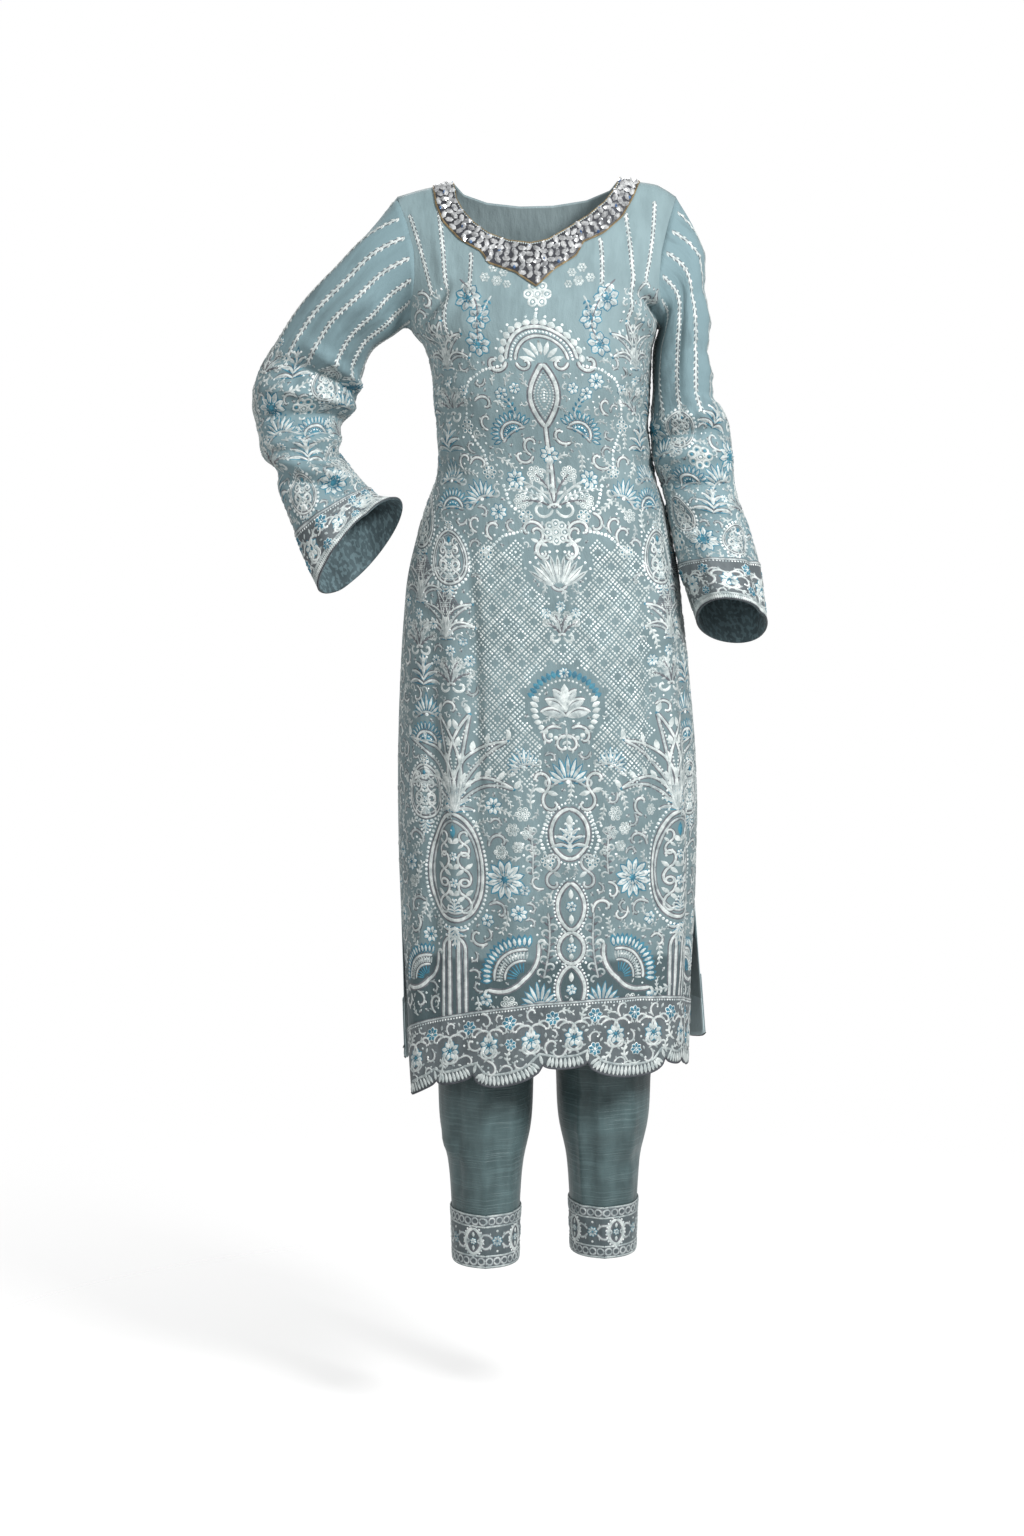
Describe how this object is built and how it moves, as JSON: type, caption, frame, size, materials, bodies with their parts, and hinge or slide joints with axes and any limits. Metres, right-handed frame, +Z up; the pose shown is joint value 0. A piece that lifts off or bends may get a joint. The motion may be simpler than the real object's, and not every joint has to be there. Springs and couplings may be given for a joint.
{
  "type": "salwar kameez suit",
  "caption": "Embroidered long-sleeved kameez with a stoned scoop neck, side slits and a scalloped hem, over cropped straight trousers, held in its worn form with one arm bent.",
  "frame": {"origin": "midway between the two shoulder seams, level with their neck ends, where the wearer's shoulders hold the kameez", "axes": "+Z up, +X to the wearer's left, +Y to the wearer's back; the front faces -Y"},
  "size_m": [0.6165, 0.2942, 1.2946],
  "materials": {
    "kameez_cloth": "sheer embroidered georgette, soft satin sheen",
    "stoned_band": "beaded and stoned on a dark ground, glittering",
    "neck_finish": "plain folded cloth, matte",
    "border_net": "embroidered net with a metallic thread sheen",
    "lining_cloth": "smooth lining, soft sheen",
    "trouser_silk": "slubbed raw silk, soft sheen",
    "trouser_band": "embroidered band, silver thread on a dark ground"
  },
  "bodies": {
    "root": {"kameez_front": "kameez_cloth", "kameez_back": "kameez_cloth", "sleeve_right": "kameez_cloth", "sleeve_left": "kameez_cloth", "neck_band_front": "stoned_band", "neck_band_back": "neck_finish", "hem_border_front": "border_net", "hem_border_back": "border_net", "cuff_border_right": "border_net", "cuff_border_left": "border_net", "lining_front": "lining_cloth", "lining_back": "lining_cloth", "trouser_leg_right": "trouser_silk", "trouser_leg_left": "trouser_silk", "trouser_waistband": "trouser_silk", "trouser_cuff_right": "trouser_band", "trouser_cuff_left": "trouser_band"}
  },
  "joints": []
}
